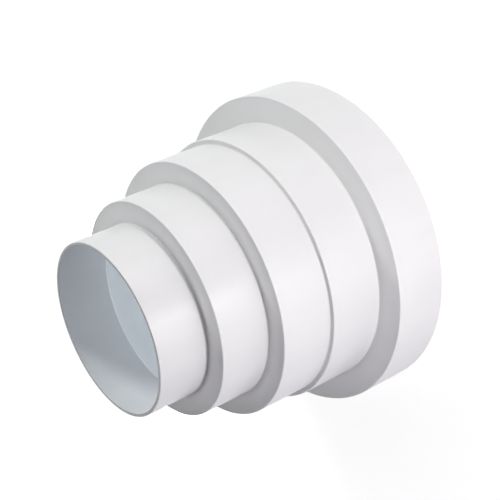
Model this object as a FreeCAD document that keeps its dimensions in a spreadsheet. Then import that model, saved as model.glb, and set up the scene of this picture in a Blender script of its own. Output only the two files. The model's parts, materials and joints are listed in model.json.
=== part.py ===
import FreeCAD, Part

import math
import os

import Sketcher

# Stepped reducer for round ventilation ducts, moulded in one piece as a thin shell of revolution.
# It stands on its large end: the origin is the centre of the large rim's plane, and +Z runs along
# the axis to the small end. Lengths are in millimetres, angles in degrees.

SIZES = [
    # Bore of the smallest duct, and how much wider each next duct is.
    ("smallest_duct", 80.0),
    ("second_step", 20.0),
    ("third_step", 20.0),
    ("fourth_step", 5.0),
    ("fifth_step", 25.0),
    # Gap all round between a duct's bore and the front edge of its spigot.
    ("slip_gap", 1.0),
    # Each spigot along the axis, from its front edge to the next shoulder or the large rim.
    ("first_length", 23.5),
    ("second_length", 23.5),
    ("third_length", 25.0),
    ("fourth_length", 26.0),
    ("fifth_length", 25.5),
    # Straight round seat at the wide end of each spigot, which centres the duct on it.
    ("seat_length", 8.0),
    # Taper from the seat to the front edge, which leads the duct on and frees the mould.
    ("draft_angle", 0.9),
    # Wall thickness at both ends of every spigot and through the shoulders between them.
    ("wall", 1.5),
    # Small bevels that dull the moulded edges: along the shoulders' outer edges, in the roots
    # where a spigot leaves its shoulder, in the corners of the inside, and round both rims.
    ("edge_bevel", 0.3),
    ("root_bevel", 0.3),
    ("inside_bevel", 0.3),
    ("rim_bevel", 0.2),
]

# Spigots from the large end up to the small one.
SPIGOTS = ["fifth", "fourth", "third", "second", "first"]

# Lines of the half-section that each spigot has outside: its seat, its taper and the flat above.
OUTER_LINES = 3

# How a sketch numbers its horizontal axis, its origin and the two ends of a line.
HORIZONTAL_AXIS = -1
ORIGIN = (-1, 1)
START = 1
END = 2

SAME_PLACE = 1e-4


def make_sheet(doc):
    """The driving dimensions: a name in column A, its value with that name as alias in column B."""
    sheet = doc.addObject("Spreadsheet::Sheet", "Sizes")
    for row, (name, value) in enumerate(SIZES, start=1):
        sheet.set(f"A{row}", name)
        sheet.set(f"B{row}", str(value))
        sheet.setAlias(f"B{row}", name)
    doc.recompute()
    return sheet


def front_radii(size):
    """Outer radius of each spigot at its front edge, which is its narrowest place."""
    radius = size("smallest_duct") / 2 - size("slip_gap")
    radii = {"first": radius}
    for name in ["second", "third", "fourth", "fifth"]:
        radius += size(f"{name}_step") / 2
        radii[name] = radius
    return radii


def section_corners(size):
    """Corners of the half-section from the large rim up: outside, three a spigot, and inside, two."""
    radii = front_radii(size)
    widening = math.tan(math.radians(size("draft_angle")))
    wall = size("wall")
    outside = []
    inside = []
    low = 0.0
    for name in SPIGOTS:
        high = low + size(f"{name}_length")
        seat_top = low + size("seat_length")
        seat_radius = radii[name] + (high - seat_top) * widening
        outside += [(seat_radius, low), (seat_radius, seat_top), (radii[name], high)]
        # The inside steps out one wall below each shoulder, and runs out at both rims.
        inner_low = low if name == SPIGOTS[0] else low - wall
        inner_high = high if name == SPIGOTS[-1] else high - wall
        inside += [(seat_radius - wall, inner_low), (radii[name] - wall, inner_high)]
        low = high
    return outside, inside


def draw_section(body, size):
    """The closed half-section on the XZ plane, fully constrained to the sheet."""
    sketch = body.newObject("Sketcher::SketchObject", "HalfSection")
    plane = next(part for part in body.Origin.OriginFeatures if part.Role == "XZ_Plane")
    sketch.AttachmentSupport = [(plane, "")]
    sketch.MapMode = "FlatFace"

    # Up the outside, across the small rim, down the inside and back across the large rim.
    outside, inside = section_corners(size)
    corners = [FreeCAD.Vector(radius, height, 0) for radius, height in outside + inside[::-1]]
    count = len(corners)
    for index in range(count):
        sketch.addGeometry(Part.LineSegment(corners[index], corners[(index + 1) % count]))
    for index in range(count):
        sketch.addConstraint(Sketcher.Constraint("Coincident", index, END, (index + 1) % count, START))

    seats = list(range(0, len(outside), OUTER_LINES))
    tapers = [line + 1 for line in seats]
    inner_walls = list(range(count - 2, len(outside) - 1, -2))
    flats = [line + 2 for line in seats] + [line + 1 for line in inner_walls]
    for line in seats:
        sketch.addConstraint(Sketcher.Constraint("Vertical", line))
    for line in flats:
        sketch.addConstraint(Sketcher.Constraint("Horizontal", line))
    for line in tapers[1:]:
        sketch.addConstraint(Sketcher.Constraint("Parallel", tapers[0], line))
    sketch.addConstraint(Sketcher.Constraint("PointOnObject", seats[0], START, HORIZONTAL_AXIS))

    def bind(name, constraint, formula):
        sketch.renameConstraint(sketch.addConstraint(constraint), name)
        sketch.setExpression(f"Constraints.{name}", formula)

    lean = math.radians(90 + size("draft_angle"))
    bind("draft", Sketcher.Constraint("Angle", tapers[0], lean), "(90 + Sizes.draft_angle) * 1 deg")

    front = size("smallest_duct") / 2 - size("slip_gap")
    reach = Sketcher.Constraint("DistanceX", *ORIGIN, tapers[-1], END, front)
    bind("first_front", reach, "Sizes.smallest_duct / 2 - Sizes.slip_gap")
    for name, taper, next_taper in zip(SPIGOTS, tapers, tapers[1:]):
        step = Sketcher.Constraint("DistanceX", next_taper, END, taper, END, size(f"{name}_step") / 2)
        bind(f"{name}_rise", step, f"Sizes.{name}_step / 2")

    wall = size("wall")
    for name, seat, taper, inner in zip(SPIGOTS, seats, tapers, inner_walls):
        length = Sketcher.Constraint("DistanceY", seat, START, taper, END, size(f"{name}_length"))
        bind(f"{name}_length", length, f"Sizes.{name}_length")
        length = Sketcher.Constraint("DistanceY", seat, START, seat, END, size("seat_length"))
        bind(f"{name}_seat", length, "Sizes.seat_length")
        thickness = Sketcher.Constraint("DistanceX", inner, END, seat, START, wall)
        bind(f"{name}_back_wall", thickness, "Sizes.wall")
        thickness = Sketcher.Constraint("DistanceX", inner, START, taper, END, wall)
        bind(f"{name}_front_wall", thickness, "Sizes.wall")
    for name, taper, inner in zip(SPIGOTS[:-1], tapers, inner_walls):
        thickness = Sketcher.Constraint("DistanceY", inner, START, taper, END, wall)
        bind(f"{name}_shoulder", thickness, "Sizes.wall")
    return sketch


def revolve(body, sketch):
    shell = body.newObject("PartDesign::Revolution", "Shell")
    shell.Profile = sketch
    shell.ReferenceAxis = (sketch, ["V_Axis"])
    shell.Angle = 360
    return shell


def ring(shape, corner):
    """Name of the circular edge that a corner of the half-section has swept."""
    radius, height = corner
    for number, edge in enumerate(shape.Edges, start=1):
        if not isinstance(edge.Curve, Part.Circle):
            continue
        off = max(abs(edge.Curve.Radius - radius), abs(edge.Curve.Center.z - height))
        if off < SAME_PLACE:
            return f"Edge{number}"
    raise RuntimeError(f"no circular edge at radius {radius}, height {height}")


def add_bevel(body, base, name, alias, corners):
    body.Document.recompute()
    bevel = body.newObject("PartDesign::Chamfer", name)
    bevel.Base = (base, [ring(base.Shape, corner) for corner in corners])
    bevel.setExpression("Size", f"Sizes.{alias}")
    return bevel


def make_shell(doc, size):
    """The whole reducer: its half-section turned about the axis, then its edges dulled."""
    body = doc.addObject("PartDesign::Body", "ReducerShell")
    body.Label = "reducer_shell"
    shell = revolve(body, draw_section(body, size))

    outside, inside = section_corners(size)
    roots = outside[OUTER_LINES::OUTER_LINES]
    shoulder_edges = outside[OUTER_LINES - 1 : -1 : OUTER_LINES]
    rims = [outside[0], outside[-1], inside[0], inside[-1]]
    shell = add_bevel(body, shell, "ShoulderEdges", "edge_bevel", shoulder_edges)
    shell = add_bevel(body, shell, "Roots", "root_bevel", roots)
    shell = add_bevel(body, shell, "InsideCorners", "inside_bevel", inside[1:-1])
    shell = add_bevel(body, shell, "Rims", "rim_bevel", rims)
    body.Tip = shell
    body.Placement = FreeCAD.Placement()
    return body


def check(doc, bodies):
    for item in doc.Objects:
        if {"Invalid", "Error"} & set(item.State):
            raise RuntimeError(f"{item.Name} did not compute: {item.State}")
    for body in bodies:
        if body.Shape.isNull() or not body.Shape.isValid():
            raise RuntimeError(f"{body.Label} has no valid shape")


def export(bodies):
    os.makedirs("parts", exist_ok=True)
    for body in bodies:
        body.Shape.exportStep(f"parts/{body.Label}.step")


doc = FreeCAD.newDocument("duct_reducer")
sheet = make_sheet(doc)
bodies = [make_shell(doc, sheet.get)]
doc.recompute()
check(doc, bodies)
export(bodies)
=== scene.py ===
import json
import math

import bmesh
import bpy
from mathutils import Matrix, Vector


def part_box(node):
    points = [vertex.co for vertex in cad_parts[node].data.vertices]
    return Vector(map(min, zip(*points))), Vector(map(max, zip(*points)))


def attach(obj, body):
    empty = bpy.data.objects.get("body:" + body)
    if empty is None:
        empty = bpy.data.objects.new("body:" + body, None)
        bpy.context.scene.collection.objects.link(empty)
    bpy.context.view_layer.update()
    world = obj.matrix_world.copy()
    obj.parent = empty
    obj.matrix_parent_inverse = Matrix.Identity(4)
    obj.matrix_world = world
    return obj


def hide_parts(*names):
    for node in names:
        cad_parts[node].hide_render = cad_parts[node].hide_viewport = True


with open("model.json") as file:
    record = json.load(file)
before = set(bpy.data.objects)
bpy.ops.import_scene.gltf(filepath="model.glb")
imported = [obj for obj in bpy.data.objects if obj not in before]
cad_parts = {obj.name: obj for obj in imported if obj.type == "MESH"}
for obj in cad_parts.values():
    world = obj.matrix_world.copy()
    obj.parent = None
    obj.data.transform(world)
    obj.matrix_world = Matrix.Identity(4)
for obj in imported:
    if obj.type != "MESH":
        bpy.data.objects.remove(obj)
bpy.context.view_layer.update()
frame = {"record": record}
scene = bpy.context.scene

# The reducer's shell: one thin moulding of white plastic, turned from a single stepped half-section.
# Its spigots and their seats come from the frame's mounts, and its ends from the node's box. The
# wall, the draft and the rounds are the mould's own.
NODE = "reducer_shell"
WALL = 0.0015
SEAT = 0.008
DRAFT = math.radians(0.9)
EDGE_ROUND = 0.0004
ROOT_ROUND = 0.0005
INSIDE_ROUND = 0.0004
RIM_ROUND = 0.0003
ROUND_SEGMENTS = 5
SUPPORT = 0.0002
TURN_STEPS = 288
WELD = 0.000001
MM_PER_M = 1000


def spigots():
    """(low end, top of the seat, high end, radius of the seat) of each spigot, from the floor up."""
    pins = [mount for mount in frame["record"]["mounts"] if mount["kind"] == "pin"]
    pins.sort(key=lambda pin: pin["pos_m"][2])
    seat_tops = [pin["pos_m"][2] + pin["dims"]["length_mm"] / MM_PER_M / 2 for pin in pins]
    lows = [top - SEAT for top in seat_tops]
    highs = lows[1:] + [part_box(NODE)[1].z]
    radii = [pin["dims"]["r_mm"] / MM_PER_M for pin in pins]
    return list(zip(lows, seat_tops, highs, radii))


def half_section():
    """Corners of the half-section in order, each with its radius, its height and its round."""
    rows = spigots()
    outside = []
    inside = []
    for row, (low, seat_top, high, seat_radius) in enumerate(rows):
        front_radius = seat_radius - (high - seat_top) * math.tan(DRAFT)
        at_large_rim = row == 0
        at_small_rim = row == len(rows) - 1
        outside.append((seat_radius, low, RIM_ROUND if at_large_rim else ROOT_ROUND))
        outside.append((seat_radius, seat_top, 0))
        outside.append((front_radius, high, RIM_ROUND if at_small_rim else EDGE_ROUND))
        if at_large_rim:
            inside.append((seat_radius - WALL, low, RIM_ROUND))
        else:
            inside.append((seat_radius - WALL, low - WALL, INSIDE_ROUND))
        if at_small_rim:
            inside.append((front_radius - WALL, high, RIM_ROUND))
        else:
            inside.append((front_radius - WALL, high - WALL, INSIDE_ROUND))
    return outside + inside[::-1]


def section_outline(shape):
    """The half-section as a closed wire, each round with a point on both sides that holds it."""
    corners = half_section()
    places = [Vector((radius, 0, height)) for radius, height, _ in corners]
    outline = []
    rounded = {}
    for index, (_, _, size) in enumerate(corners):
        here = places[index]
        before = places[index - 1] - here
        after = places[(index + 1) % len(places)] - here
        corner = shape.verts.new(here)
        if not size:
            outline.append(corner)
            continue
        rounded.setdefault(size, []).append(corner)
        hold = size + SUPPORT
        outline.append(shape.verts.new(here + before.normalized() * hold))
        outline.append(corner)
        outline.append(shape.verts.new(here + after.normalized() * hold))
    for index, point in enumerate(outline):
        shape.edges.new((point, outline[(index + 1) % len(outline)]))
    for size, points in rounded.items():
        bmesh.ops.bevel(
            shape, geom=points, offset=size, affect="VERTICES", segments=ROUND_SEGMENTS, profile=0.5,
            material=-1,
        )


def turned_shell(name):
    """The half-section turned once about the axis, as a smooth closed shell."""
    shape = bmesh.new()
    section_outline(shape)
    bmesh.ops.spin(
        shape, geom=shape.verts[:] + shape.edges[:], cent=(0, 0, 0), axis=(0, 0, 1), angle=math.tau,
        steps=TURN_STEPS, use_merge=True,
    )
    bmesh.ops.remove_doubles(shape, verts=shape.verts, dist=WELD)
    bmesh.ops.recalc_face_normals(shape, faces=shape.faces)
    mesh = bpy.data.meshes.new(name)
    shape.to_mesh(mesh)
    shape.free()
    mesh.shade_smooth()
    piece = bpy.data.objects.new(name, mesh)
    scene.collection.objects.link(piece)
    return piece


# Satin white plastic: faint flow streaks along the axis in its colour and gloss, slow waves of the
# thin wall and a fine grain from the mould in its surface.
PLASTIC_WHITE = (0.91, 0.91, 0.91, 1)
PLASTIC_DULL = (0.89, 0.89, 0.89, 1)
PLASTIC_IOR = 1.46
STREAK_SCALE = 80.0
STREAK_DETAIL = 4
STREAK_STRETCH = 0.2
STREAK_SPAN = (0.3, 0.7)
GLOSS_RANGE = (0.33, 0.40)
WAVE_SCALE = 38.0
WAVE_DETAIL = 1
WAVE_HEIGHT = 0.00006
GRAIN_SCALE = 2600.0
GRAIN_DETAIL = 2
GRAIN_HEIGHT = 0.000004
BUMP_STRENGTH = 1.0


def noise(nodes, links, vector, scale, detail):
    """A noise texture on a vector, with its features about one over the scale across, in metres."""
    texture = nodes.new("ShaderNodeTexNoise")
    texture.inputs["Scale"].default_value = scale
    texture.inputs["Detail"].default_value = detail
    links.new(vector, texture.inputs["Vector"])
    return texture.outputs["Fac"]


def white_plastic():
    material = bpy.data.materials.new("white_plastic")
    material.use_nodes = True
    nodes = material.node_tree.nodes
    links = material.node_tree.links
    shader = nodes["Principled BSDF"]
    shader.inputs["IOR"].default_value = PLASTIC_IOR

    place = nodes.new("ShaderNodeTexCoord").outputs["Object"]
    along_axis = nodes.new("ShaderNodeMapping")
    along_axis.inputs["Scale"].default_value = (1, 1, STREAK_STRETCH)
    links.new(place, along_axis.inputs["Vector"])
    streaks = noise(nodes, links, along_axis.outputs["Vector"], STREAK_SCALE, STREAK_DETAIL)
    colour = nodes.new("ShaderNodeValToRGB")
    colour.color_ramp.elements[0].position = STREAK_SPAN[0]
    colour.color_ramp.elements[0].color = PLASTIC_DULL
    colour.color_ramp.elements[1].position = STREAK_SPAN[1]
    colour.color_ramp.elements[1].color = PLASTIC_WHITE
    links.new(streaks, colour.inputs["Fac"])
    links.new(colour.outputs["Color"], shader.inputs["Base Color"])
    gloss = nodes.new("ShaderNodeMapRange")
    gloss.inputs["From Min"].default_value = STREAK_SPAN[0]
    gloss.inputs["From Max"].default_value = STREAK_SPAN[1]
    gloss.inputs["To Min"].default_value = GLOSS_RANGE[0]
    gloss.inputs["To Max"].default_value = GLOSS_RANGE[1]
    links.new(streaks, gloss.inputs["Value"])
    links.new(gloss.outputs["Result"], shader.inputs["Roughness"])

    waves = nodes.new("ShaderNodeBump")
    waves.inputs["Strength"].default_value = BUMP_STRENGTH
    waves.inputs["Distance"].default_value = WAVE_HEIGHT
    links.new(noise(nodes, links, place, WAVE_SCALE, WAVE_DETAIL), waves.inputs["Height"])
    grain = nodes.new("ShaderNodeBump")
    grain.inputs["Strength"].default_value = BUMP_STRENGTH
    grain.inputs["Distance"].default_value = GRAIN_HEIGHT
    links.new(noise(nodes, links, place, GRAIN_SCALE, GRAIN_DETAIL), grain.inputs["Height"])
    links.new(waves.outputs["Normal"], grain.inputs["Normal"])
    links.new(grain.outputs["Normal"], shader.inputs["Normal"])
    return material


shell = turned_shell("moulded_shell")
shell.data.materials.append(white_plastic())
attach(shell, "root")
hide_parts(NODE)

# The floor: a wide pale sweep that the reducer stands on. It is seen as white, whiter with
# distance, and keeps a soft shadow.
FLOOR_RADIUS = 8.0
FLOOR_SEGMENTS = 96
FLOOR_COLOUR = (0.88, 0.88, 0.88, 1)
SEEN_COLOUR = (0.5, 0.5, 0.5, 1)
SEEN_LIGHT = (0.78, 1.0)
SEEN_DISTANCE = (0.1, 0.35)


def seen_directly(nodes, links):
    """1 for the camera's own rays and for those that a mirror or glass would show, otherwise 0."""
    path = nodes.new("ShaderNodeLightPath")
    mirrored = nodes.new("ShaderNodeMath")
    mirrored.operation = "MAXIMUM"
    links.new(path.outputs["Is Camera Ray"], mirrored.inputs[0])
    links.new(path.outputs["Is Glossy Ray"], mirrored.inputs[1])
    direct = nodes.new("ShaderNodeMath")
    direct.operation = "MAXIMUM"
    links.new(mirrored.outputs[0], direct.inputs[0])
    links.new(path.outputs["Is Transmission Ray"], direct.inputs[1])
    return direct.outputs[0]


def matt_shader(nodes, colour):
    matt = nodes.new("ShaderNodeBsdfDiffuse")
    matt.inputs["Color"].default_value = colour
    return matt


def pale_floor():
    material = bpy.data.materials.new("pale_floor")
    material.use_nodes = True
    nodes = material.node_tree.nodes
    links = material.node_tree.links
    nodes.clear()
    distance = nodes.new("ShaderNodeVectorMath")
    distance.operation = "LENGTH"
    links.new(nodes.new("ShaderNodeTexCoord").outputs["Object"], distance.inputs[0])
    fade = nodes.new("ShaderNodeMapRange")
    fade.inputs["From Min"].default_value = SEEN_DISTANCE[0]
    fade.inputs["From Max"].default_value = SEEN_DISTANCE[1]
    fade.inputs["To Min"].default_value = SEEN_LIGHT[0]
    fade.inputs["To Max"].default_value = SEEN_LIGHT[1]
    links.new(distance.outputs["Value"], fade.inputs["Value"])
    glow = nodes.new("ShaderNodeEmission")
    links.new(fade.outputs["Result"], glow.inputs["Strength"])
    seen = nodes.new("ShaderNodeAddShader")
    links.new(matt_shader(nodes, SEEN_COLOUR).outputs[0], seen.inputs[0])
    links.new(glow.outputs[0], seen.inputs[1])

    choose = nodes.new("ShaderNodeMixShader")
    links.new(seen_directly(nodes, links), choose.inputs[0])
    links.new(matt_shader(nodes, FLOOR_COLOUR).outputs[0], choose.inputs[1])
    links.new(seen.outputs[0], choose.inputs[2])
    out = nodes.new("ShaderNodeOutputMaterial")
    links.new(choose.outputs[0], out.inputs["Surface"])
    return material


def studio_floor():
    shape = bmesh.new()
    bmesh.ops.create_circle(shape, cap_ends=True, radius=FLOOR_RADIUS, segments=FLOOR_SEGMENTS)
    mesh = bpy.data.meshes.new("studio_floor")
    shape.to_mesh(mesh)
    shape.free()
    floor = bpy.data.objects.new("studio_floor", mesh)
    scene.collection.objects.link(floor)
    mesh.materials.append(pale_floor())
    return floor


studio_floor()

# The studio's air: white to the camera and in a gloss, and dark otherwise, so that the lamps alone
# light the reducer.
AMBIENT = 0.0
SEEN_AIR = (1, 1, 1, 1)
world = bpy.data.worlds.new("studio")
scene.world = world
world.use_nodes = True


def studio_air():
    nodes = world.node_tree.nodes
    links = world.node_tree.links
    nodes.clear()
    seen = nodes.new("ShaderNodeBackground")
    seen.inputs["Color"].default_value = SEEN_AIR
    ambient = nodes.new("ShaderNodeBackground")
    ambient.inputs["Strength"].default_value = AMBIENT
    choose = nodes.new("ShaderNodeMixShader")
    links.new(seen_directly(nodes, links), choose.inputs[0])
    links.new(ambient.outputs[0], choose.inputs[1])
    links.new(seen.outputs[0], choose.inputs[2])
    out = nodes.new("ShaderNodeOutputWorld")
    links.new(choose.outputs[0], out.inputs["Surface"])


studio_air()

# The lamps. Low flat strips stand round the reducer and light its sides, those at the back without
# a shine. Round softboxes shine into the mouth, down on the steps and low from the front, and a
# weak one on the floor lights the bore from below.
PLAIN = (1.0, 1.0, 1.0)
ROSE = (1.0, 0.93, 0.95)
GREEN = (0.95, 1.0, 0.97)
VIOLET = (0.88, 0.84, 1.0)
BLUE = (0.8, 0.9, 1.0)
MIDDLE_HEIGHT = 0.06
MOUTH_HEIGHT = 0.11
STRIP_SIZE = (0.12, 0.02)
STRIPS = [
    # name, azimuth in degrees, distance from the axis and height in metres, watts and colour
    ("near_strip", 270, 0.35, 0.06, 0.28, PLAIN),
    ("side_strip", 255, 0.35, 0.075, 0.19, ROSE),
    ("left_strip", 210, 0.35, 0.075, 0.15, VIOLET),
    ("right_strip", 330, 0.35, 0.045, 0.17, ROSE),
]
BACK_STRIPS = [
    ("back_strip", 90, 0.25, 0.02, 0.15, PLAIN),
    ("back_left_strip", 125, 0.25, 0.02, 0.15, PLAIN),
]
BOXES = [
    # name, azimuth and elevation in degrees, distance from the point of the axis that it is aimed at
    # and that point's height in metres, width, watts and colour
    ("low_box", 270, 5, 0.9, MIDDLE_HEIGHT, 0.25, 0.6, PLAIN),
    ("mouth_box", 15, 16, 0.5, MOUTH_HEIGHT, 0.12, 1.0, GREEN),
    ("mouth_front_box", 315, 16, 0.5, MOUTH_HEIGHT, 0.12, 0.15, VIOLET),
    ("top_box", 90, 87, 0.9, MIDDLE_HEIGHT, 0.08, 0.7, PLAIN),
    ("high_box", 150, 84, 0.9, MIDDLE_HEIGHT, 0.08, 0.4, VIOLET),
]
BORE_WIDTH = 0.13
BORE_HEIGHT = 0.004
BORE_WATTS = 0.04
SHINE_SIZE = (0.012, 0.022)
SHINE_PLACE = (270, 0.16, 0.047)
SHINE_WATTS = 0.022


def around(azimuth, away, height):
    """A place at an azimuth in degrees, at a distance from the axis and a height."""
    return Matrix.Rotation(math.radians(azimuth), 3, "Z") @ Vector((away, 0, height))


def lamp(name, place, beam, size, watts, colour):
    """A lamp that the camera doesn't see: flat where the size has two measures, otherwise round."""
    data = bpy.data.lights.new(name, "AREA")
    data.shape = "RECTANGLE" if len(size) == 2 else "DISK"
    data.size = size[0]
    data.size_y = size[-1]
    data.energy = watts
    data.color = colour
    fitting = bpy.data.objects.new(name, data)
    fitting.location = place
    fitting.rotation_euler = beam.to_track_quat("-Z", "Y").to_euler()
    fitting.visible_camera = False
    scene.collection.objects.link(fitting)
    return fitting


def strip(name, azimuth, away, height, watts, colour):
    """A flat strip that faces the axis and beams level."""
    place = around(azimuth, away, height)
    return lamp(name, place, around(azimuth, -away, 0), STRIP_SIZE, watts, colour)


def box(name, azimuth, elevation, distance, aim, width, watts, colour):
    """A round softbox that beams down at a point of the axis."""
    lift = math.radians(elevation)
    offset = around(azimuth, distance * math.cos(lift), distance * math.sin(lift))
    return lamp(name, Vector((0, 0, aim)) + offset, -offset, (width,), watts, colour)


for row in STRIPS:
    strip(*row)
for row in BACK_STRIPS:
    strip(*row).visible_glossy = False
for row in BOXES:
    box(*row)
lamp("bore_light", Vector((0, 0, BORE_HEIGHT)), Vector((0, 0, 1)), (BORE_WIDTH,), BORE_WATTS, BLUE)

# The shine lamp: a small one low in front, seen in the plastic's gloss alone, that draws the soft
# highlight along the two smallest spigots.
shine_place = around(*SHINE_PLACE)
shine_beam = Vector((0, 0, MOUTH_HEIGHT)) - shine_place
shine = lamp("mouth_shine", shine_place, shine_beam, SHINE_SIZE, SHINE_WATTS, PLAIN)
shine.visible_diffuse = False

# The camera, at the photograph's viewing angle, about half a metre from the reducer. It is rolled
# about its own axis, so that the upright reducer lies as it does in the photograph.
LENS = 77.67
SENSOR = 36.0
CAMERA_PLACE = Vector((0.4143, 0.0070, 0.3081))
CAMERA_RIGHT = Vector((0.4955, -0.3971, -0.7726))
CAMERA_UP = Vector((0.2144, 0.9178, -0.3343))
CAMERA_TURN = math.radians(15)


def from_view_axes(vector):
    """From (towards the camera, across the view, up) to the frame's X, Y and Z."""
    towards = Vector((math.sin(CAMERA_TURN), -math.cos(CAMERA_TURN), 0))
    across = Vector((math.cos(CAMERA_TURN), math.sin(CAMERA_TURN), 0))
    return towards * vector.x + across * vector.y + Vector((0, 0, vector.z))


def photo_camera():
    data = bpy.data.cameras.new("photo_camera")
    data.lens = LENS
    data.sensor_width = SENSOR
    camera = bpy.data.objects.new("photo_camera", data)
    right = from_view_axes(CAMERA_RIGHT).normalized()
    back = right.cross(from_view_axes(CAMERA_UP)).normalized()
    up = back.cross(right)
    turn = Matrix((right, up, back)).transposed().to_4x4()
    camera.matrix_world = Matrix.Translation(from_view_axes(CAMERA_PLACE)) @ turn
    scene.collection.objects.link(camera)
    scene.camera = camera


photo_camera()

scene.view_settings.view_transform = "Standard"
